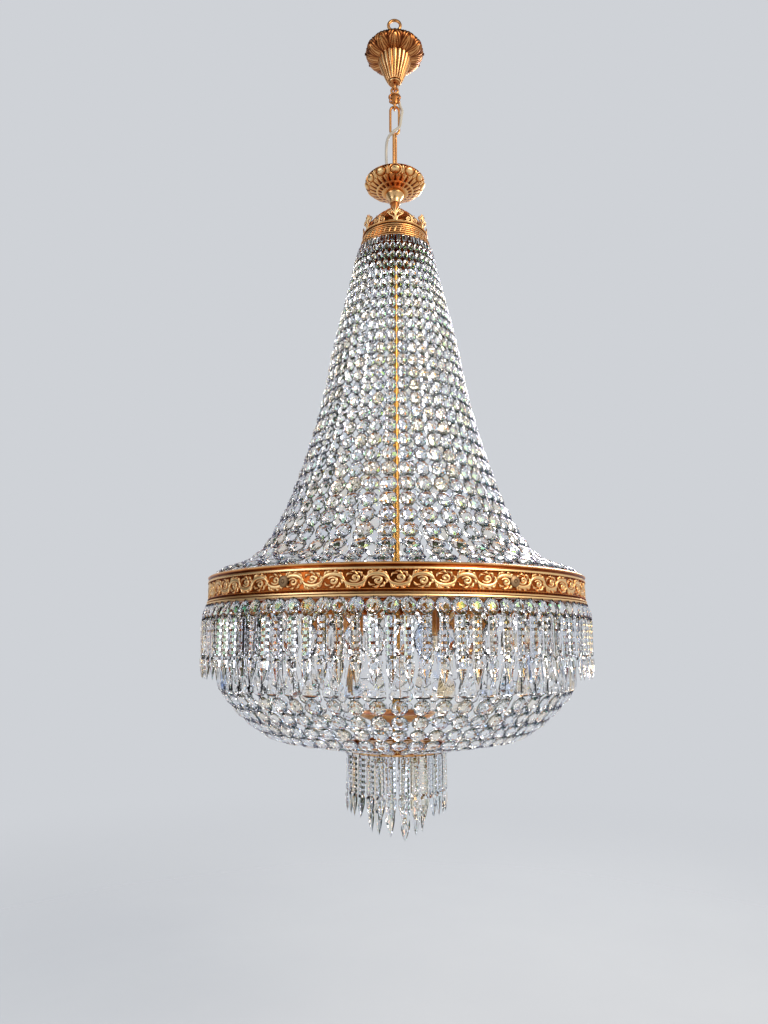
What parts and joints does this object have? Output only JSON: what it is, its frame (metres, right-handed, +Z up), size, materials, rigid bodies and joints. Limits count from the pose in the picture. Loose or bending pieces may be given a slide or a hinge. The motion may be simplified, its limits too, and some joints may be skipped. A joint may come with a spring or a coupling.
{
  "type": "crystal chandelier",
  "caption": "Hanging crystal chandelier: beaded tent over a gilt ring with spear fringe, a basket of strings and tiered spear drops below.",
  "frame": {"origin": "centre of the hanging eye's hole", "axes": "+Z up along the centre tube, +Y along the hole of the hanging eye, towards the back; the front is -Y"},
  "size_m": [0.5708, 0.5708, 1.3574],
  "materials": {
    "gilt_brass": "gilded and lacquered, warm, bright on the edges",
    "gilt_pressing": "pressed and gilded sheet with dark hollows",
    "steel_tube": "plain gilded tube",
    "lead_crystal": "cut and polished, clear",
    "white_plastic": "moulded",
    "cable_pvc": "smooth, slightly translucent"
  },
  "bodies": {
    "suspension": {"hanging_eye": "gilt_brass", "terminal_block": "white_plastic", "canopy_collar": "gilt_brass", "stem_loop": "gilt_brass", "cable_stem": "cable_pvc"},
    "canopy": {"canopy_shell": "gilt_pressing", "canopy_leaf_rim": "gilt_pressing", "canopy_knobs": "gilt_brass"},
    "leaf": {"leaf_link": "gilt_brass", "cable_leaf": "cable_pvc"},
    "upper_oval": {"oval_link_upper": "gilt_brass", "cable_upper": "cable_pvc"},
    "lower_oval": {"oval_link_lower": "gilt_brass", "cable_lower": "cable_pvc"},
    "drop_octagon": {"pendant_octagon": "lead_crystal"},
    "drop_spear": {"pendant_clip": "gilt_brass", "pendant_spear": "lead_crystal"},
    "chandelier": {"top_loop": "gilt_brass", "neck_knob": "gilt_brass", "neck_sleeve": "gilt_brass", "ring_screws": "gilt_brass", "arms_hub": "gilt_brass", "arched_arms": "gilt_brass", "lamp_cups": "gilt_brass", "dish_nut": "gilt_brass", "finial": "gilt_brass", "bottom_spider": "gilt_brass", "pendant_pin": "gilt_brass", "gallery_cup": "gilt_pressing", "crown_dome": "gilt_pressing", "crown_ring": "gilt_pressing", "crown_palmettes": "gilt_pressing", "crown_scrolls": "gilt_pressing", "main_ring": "gilt_pressing", "bottom_ring": "gilt_pressing", "lower_dish": "gilt_pressing", "lamp_sleeves": "gilt_pressing", "centre_tube": "steel_tube", "tent_baguettes": "lead_crystal", "tent_strings": "lead_crystal", "fringe_octagons": "lead_crystal", "fringe_spears": "lead_crystal", "basket_octagons": "lead_crystal", "basket_ovals": "lead_crystal", "basket_prisms": "lead_crystal", "basket_lower_strings": "lead_crystal", "under_strings": "lead_crystal", "bottom_spears_outer": "lead_crystal", "bottom_octagons_inner": "lead_crystal", "bottom_spears_inner": "lead_crystal", "cable_inlet": "cable_pvc"}
  },
  "joints": [
    {"name": "canopy_slide", "type": "slide", "parent": "suspension", "child": "canopy", "axis": [0, 0, 1], "range_m": [0, 0.045]},
    {"name": "leaf_swing", "type": "hinge", "parent": "suspension", "child": "leaf", "pos_m": [0, 0, -0.1243], "axis": [1, 0, 0], "range_deg": [-10, 10], "deforming": ["cable_leaf"]},
    {"name": "upper_oval_swing", "type": "hinge", "parent": "leaf", "child": "upper_oval", "pos_m": [0, 0, -0.1653], "axis": [0, 1, 0], "range_deg": [-15, 15], "deforming": ["cable_upper"]},
    {"name": "lower_oval_swing", "type": "hinge", "parent": "upper_oval", "child": "lower_oval", "pos_m": [0, 0, -0.2134], "axis": [1, 0, 0], "range_deg": [-15, 15], "deforming": ["cable_lower"]},
    {"name": "chandelier_swing", "type": "hinge", "parent": "lower_oval", "child": "chandelier", "pos_m": [0, 0, -0.2799], "axis": [0.2079, 0.9781, 0], "range_deg": [-12, 12], "deforming": ["cable_inlet"]},
    {"name": "drop_octagon_swing", "type": "hinge", "parent": "chandelier", "child": "drop_octagon", "pos_m": [0.012, 0, -1.2344], "axis": [0, 1, 0], "range_deg": [-6, 6]},
    {"name": "drop_spear_swing", "type": "hinge", "parent": "drop_octagon", "child": "drop_spear", "pos_m": [0.012, 0, -1.2484], "axis": [0, 1, 0], "range_deg": [-5, 5]}
  ]
}
